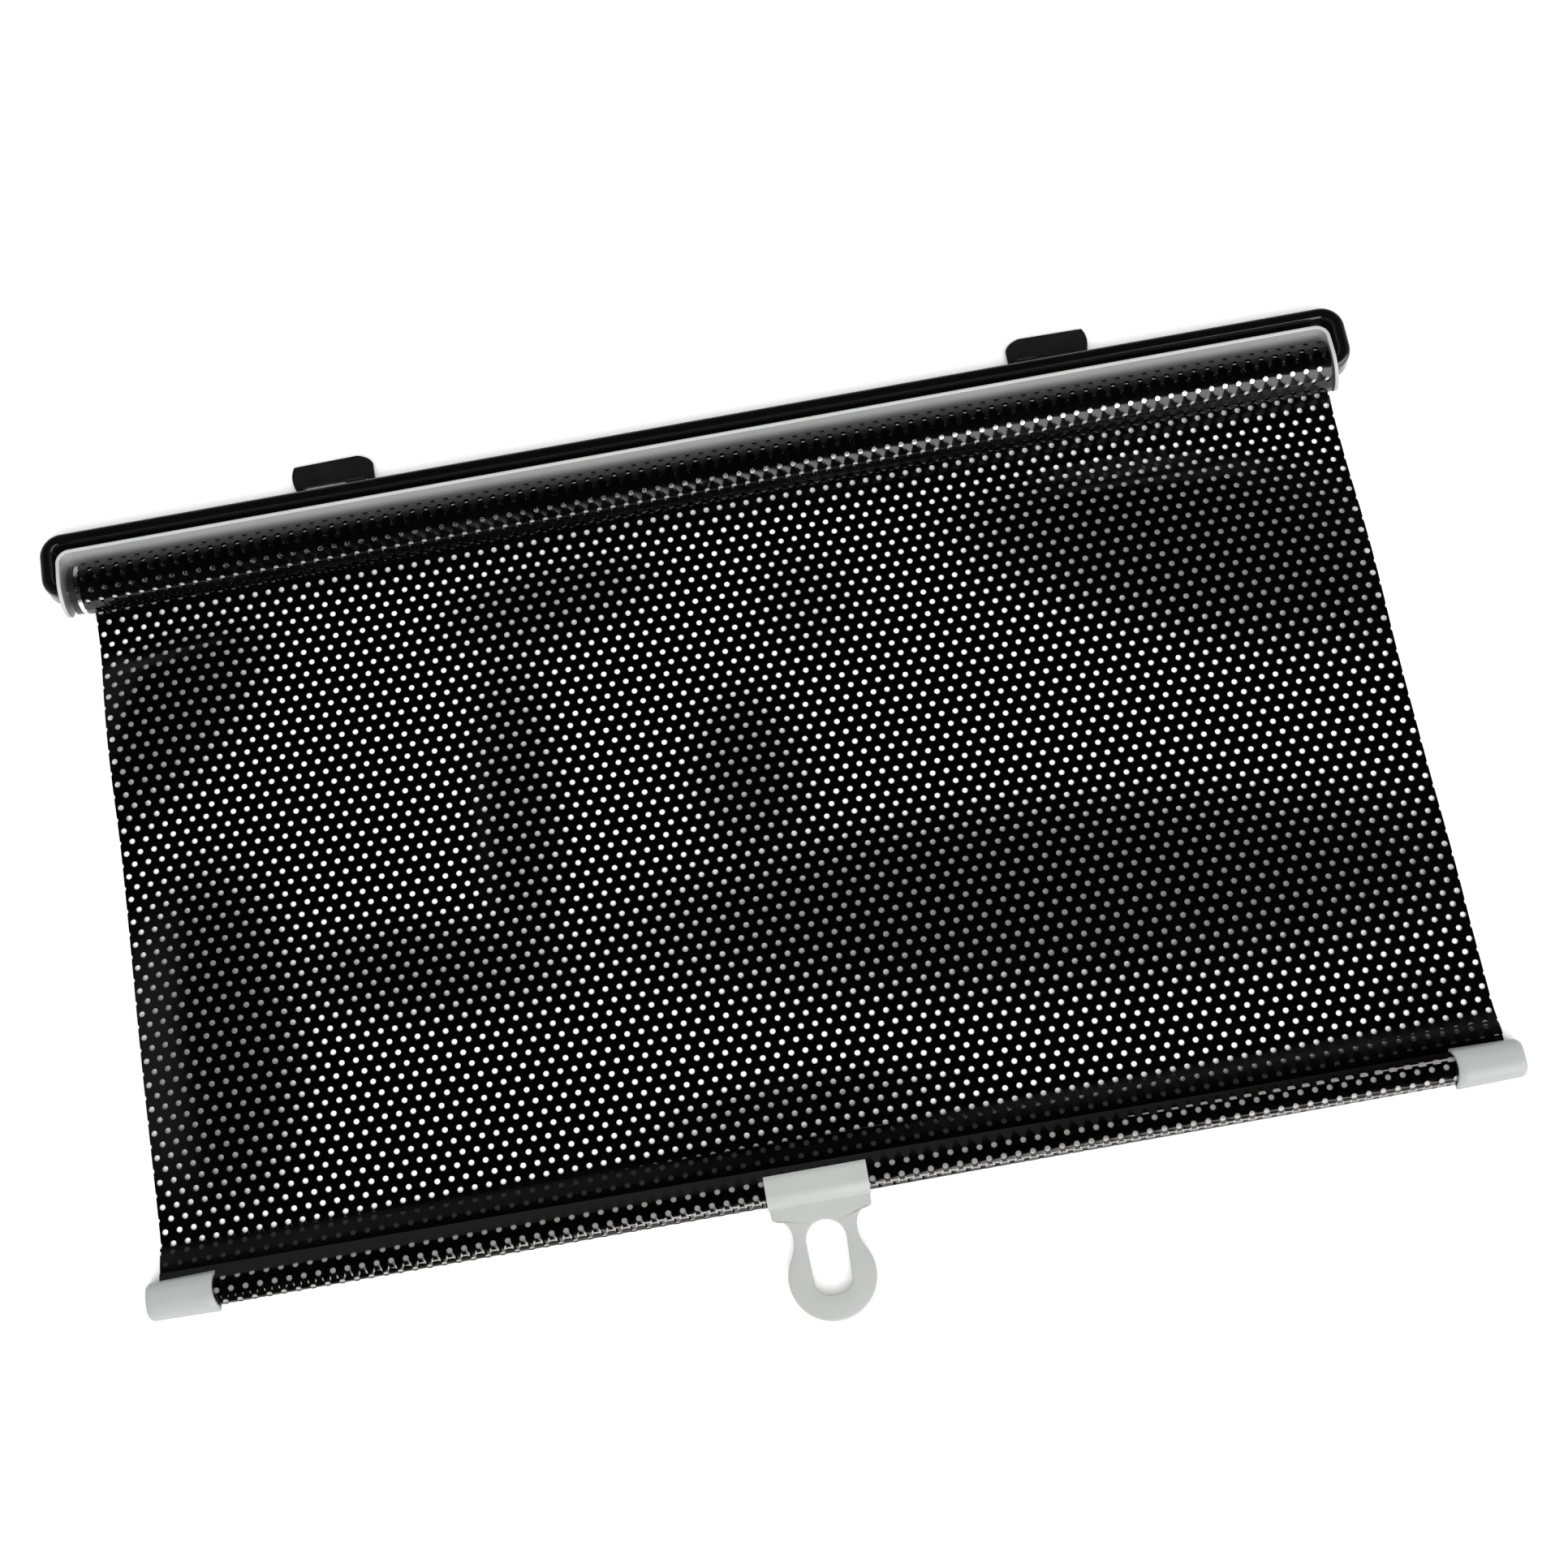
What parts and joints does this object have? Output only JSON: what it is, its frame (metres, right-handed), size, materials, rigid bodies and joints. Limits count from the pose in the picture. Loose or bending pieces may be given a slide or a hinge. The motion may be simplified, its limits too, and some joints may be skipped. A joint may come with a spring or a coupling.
{
  "type": "car side window sunshade",
  "caption": "Spring roller sunshade: black rail with two window clips, grey bracket, perforated film screen drawn out to a bar with end caps and a pull tab.",
  "frame": {"origin": "centre of the rail's back face, which lies on the surface below", "axes": "+X along the rail, +Y towards the window's top edge, +Z out of the window; the screen is drawn out towards -Y"},
  "size_m": [0.492, 0.3489, 0.0214],
  "materials": {
    "rail_black": "gloss black moulded plastic",
    "bracket_grey": "satin light grey",
    "clip_black": "satin black moulded plastic",
    "bright_metal": "bright drawn aluminium",
    "spring_steel": "plain spring steel",
    "film_black": "thin perforated black film",
    "plug_black": "black moulded plastic",
    "cap_grey": "light grey moulded plastic",
    "tab_grey": "light grey moulded plastic"
  },
  "bodies": {
    "holder": {"rail": "rail_black", "bracket": "bracket_grey", "bracket_rivet_1": "bright_metal", "bracket_rivet_2": "bright_metal", "bracket_rivet_3": "bright_metal", "bracket_rivet_4": "bright_metal", "clip_left": "clip_black", "clip_right": "clip_black", "spring_arbor": "spring_steel", "torsion_spring": "spring_steel", "film_sheet": "film_black"},
    "roller": {"roller_tube": "bright_metal", "film_roll": "film_black", "idle_plug": "plug_black", "idle_pin": "spring_steel", "spring_plug": "plug_black", "anchor_plug": "plug_black"},
    "bar": {"slat": "bright_metal", "hem": "film_black", "end_cap_left": "cap_grey", "end_cap_right": "cap_grey", "pull_tab": "tab_grey"}
  },
  "joints": [
    {"name": "bar_retract", "type": "slide", "parent": "holder", "child": "bar", "axis": [0, 1, 0], "range_m": [0, 0.244], "deforming": ["film_sheet"]},
    {"name": "roller_spin", "type": "hinge", "parent": "holder", "child": "roller", "pos_m": [0, -0.0129, 0.0118], "axis": [1, 0, 0], "range_deg": [0, 1492]}
  ],
  "couplings": [
    {"joint": "roller_spin", "follows": "bar_retract", "rad_per_m": 106.38}
  ]
}
